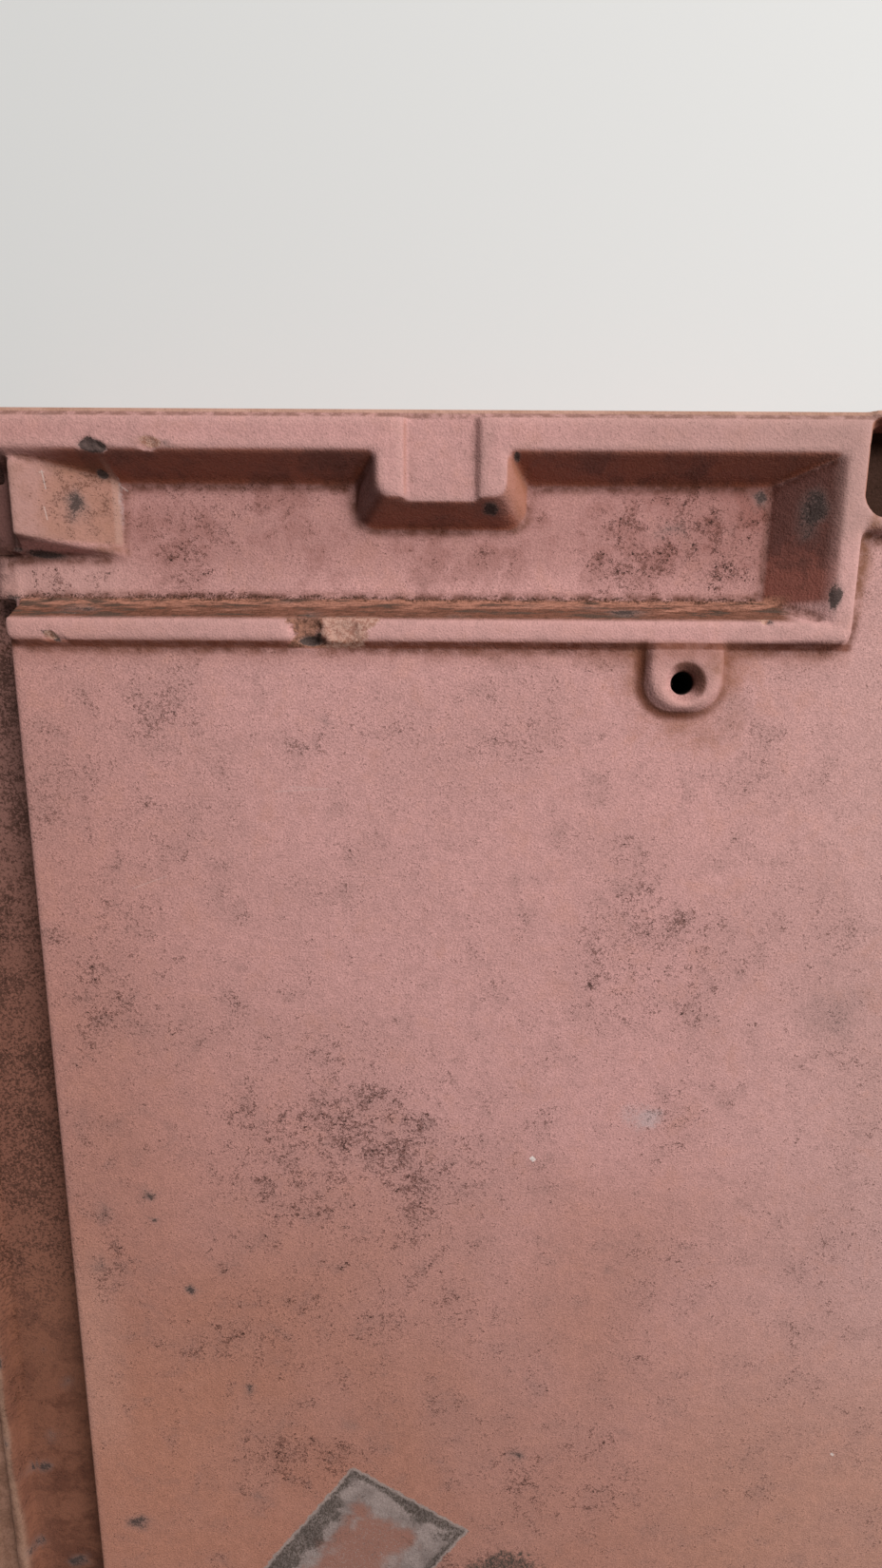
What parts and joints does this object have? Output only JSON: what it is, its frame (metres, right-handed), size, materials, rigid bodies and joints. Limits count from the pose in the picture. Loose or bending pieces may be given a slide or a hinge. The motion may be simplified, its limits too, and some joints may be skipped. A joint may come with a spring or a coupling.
{
  "type": "flat interlocking clay roof tile",
  "caption": "Flat interlocking clay roof tile with side lock channels, a head trough, a covering flange, a nail hole and hanging lugs.",
  "frame": {"origin": "middle of the tile's plan on the ground it lies on", "axes": "+X right across the tile to the covering flange, +Y towards the head (up the roof), +Z out of the weather face"},
  "size_m": [0.29, 0.46, 0.03],
  "materials": {
    "clay": "matt, weathered"
  },
  "bodies": {
    "root": {"clay_tile": "clay"}
  },
  "joints": []
}
